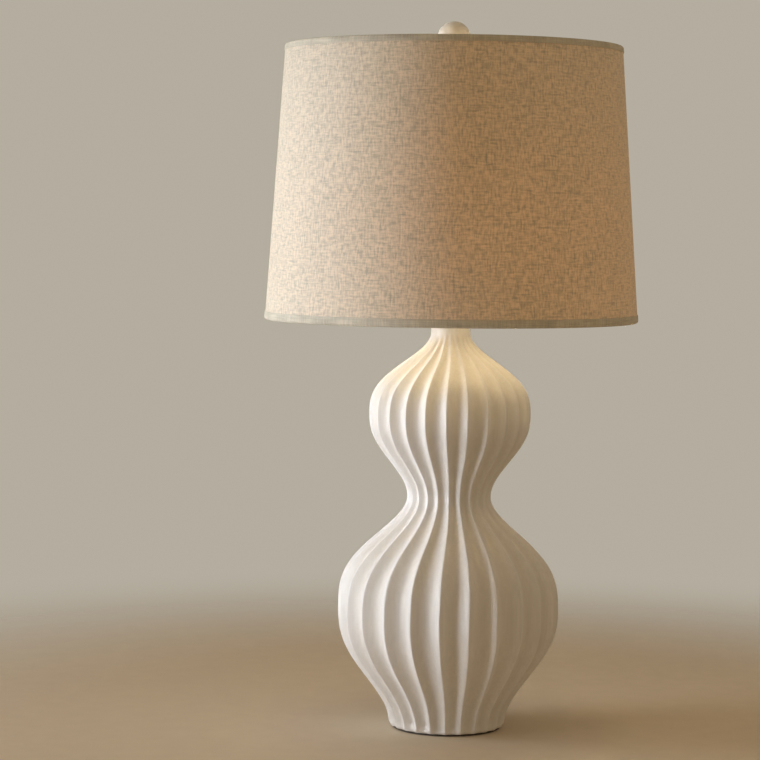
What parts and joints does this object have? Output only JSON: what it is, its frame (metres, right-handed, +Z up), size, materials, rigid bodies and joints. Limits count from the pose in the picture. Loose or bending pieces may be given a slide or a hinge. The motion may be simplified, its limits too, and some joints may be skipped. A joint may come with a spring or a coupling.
{
  "type": "table lamp",
  "caption": "Table lamp with a fluted double gourd ceramic body, a tapered linen drum shade on a harp, and a round finial.",
  "frame": {"origin": "on the lamp's upright axis, at the underside of the felt pad, where it stands", "axes": "+Z up; -Y is the front, with the switch knob; +Y is the back, with the cord outlet; the harp stands in the XZ plane"},
  "size_m": [0.406, 0.406, 0.7689],
  "materials": {
    "bisque_glaze": "matt off-white glaze over a fluted, hand-finished body",
    "dark_felt": "pressed wool felt",
    "zinc_steel": "zinc-plated steel",
    "rubber_gasket": "soft black rubber",
    "bushing_plastic": "ivory moulded plastic",
    "neck_brass": "satin antique brass",
    "harp_nickel": "satin nickel plate on steel wire",
    "socket_brass": "bright brass sheet",
    "liner_card": "pressed insulating card",
    "block_phenolic": "moulded black phenolic",
    "knob_plastic": "glossy black plastic",
    "bulb_glass": "frosted glass, lit",
    "base_aluminium": "rolled aluminium",
    "base_glass": "black vitreous glass",
    "solder": "soldered contact",
    "tungsten": "drawn tungsten wire",
    "stem_glass": "clear glass",
    "flax_linen": "natural slubby linen, plain weave",
    "linen_tape": "linen hem tape, folded over the edge wire",
    "styrene": "white styrene lampshade backing",
    "ring_steel": "white coated steel wire",
    "finial_ceramic": "cream glaze"
  },
  "bodies": {
    "base": {"ceramic_body": "bisque_glaze", "felt_pad": "dark_felt", "base_washer": "zinc_steel", "base_lock_washer": "zinc_steel", "base_lock_nut": "zinc_steel", "threaded_rod": "zinc_steel", "cord_bushing": "bushing_plastic", "neck_gasket": "rubber_gasket", "neck_cap": "neck_brass", "neck_tube": "neck_brass", "neck_lock_nut": "neck_brass", "harp_saddle": "harp_nickel", "socket_cap": "socket_brass", "socket_set_screw": "zinc_steel", "socket_shell": "socket_brass", "socket_liner": "liner_card", "socket_block": "block_phenolic", "socket_screw_shell": "socket_brass", "socket_contact_tongue": "socket_brass", "terminal_screws": "socket_brass", "switch_collar": "socket_brass"},
    "harp": {"harp_frame": "harp_nickel", "harp_top_screw": "harp_nickel"},
    "sleeve_left": {"harp_sleeve_left": "harp_nickel"},
    "sleeve_right": {"harp_sleeve_right": "harp_nickel"},
    "switch": {"switch_knob": "knob_plastic", "switch_shaft": "socket_brass", "switch_rotor": "block_phenolic"},
    "bulb_tip": {"bulb_tip_contact": "solder"},
    "bulb": {"bulb_glass": "bulb_glass", "bulb_screw_base": "base_aluminium", "bulb_base_insulator": "base_glass", "bulb_stem": "stem_glass", "bulb_lead_wires": "tungsten", "bulb_filament": "tungsten"},
    "shade": {"shade_linen": "flax_linen", "shade_liner": "styrene", "shade_top_ring": "ring_steel", "shade_bottom_ring": "ring_steel", "shade_top_hem": "linen_tape", "shade_bottom_hem": "linen_tape", "shade_hub": "ring_steel", "shade_arms": "ring_steel"},
    "finial_ring": {"finial_washer": "neck_brass"},
    "finial": {"finial_insert": "neck_brass", "finial_knob": "finial_ceramic"}
  },
  "joints": [
    {"name": "harp_lift", "type": "slide", "parent": "base", "child": "harp", "axis": [0, 0, 1], "range_m": [0, 0.16]},
    {"name": "sleeve_left_slide", "type": "slide", "parent": "harp", "child": "sleeve_left", "axis": [0, 0, 1], "range_m": [0, 0.014]},
    {"name": "sleeve_right_slide", "type": "slide", "parent": "harp", "child": "sleeve_right", "axis": [0, 0, 1], "range_m": [0, 0.014]},
    {"name": "switch_turn", "type": "hinge", "parent": "base", "child": "switch", "pos_m": [0, -0.03, 0.4948], "axis": [0, -1, 0], "continuous": true},
    {"name": "bulb_lift", "type": "slide", "parent": "base", "child": "bulb_tip", "axis": [0, 0, 1], "range_m": [0, 0.02178]},
    {"name": "bulb_unscrew", "type": "hinge", "parent": "bulb_tip", "child": "bulb", "pos_m": [0, 0, 0.589], "axis": [0, 0, 1], "range_deg": [0, 2160]},
    {"name": "shade_swivel", "type": "hinge", "parent": "harp", "child": "shade", "pos_m": [0, 0, 0.7215], "axis": [0, 0, 1], "continuous": true},
    {"name": "finial_lift", "type": "slide", "parent": "harp", "child": "finial_ring", "axis": [0, 0, 1], "range_m": [0, 0.01318]},
    {"name": "finial_unscrew", "type": "hinge", "parent": "finial_ring", "child": "finial", "pos_m": [0, 0, 0.7504], "axis": [0, 0, 1], "range_deg": [0, 5040]}
  ],
  "couplings": [
    {"joint": "bulb_lift", "follows": "bulb_unscrew", "m_per_rad": 0.00057757},
    {"joint": "finial_lift", "follows": "finial_unscrew", "m_per_rad": 0.00014972}
  ]
}
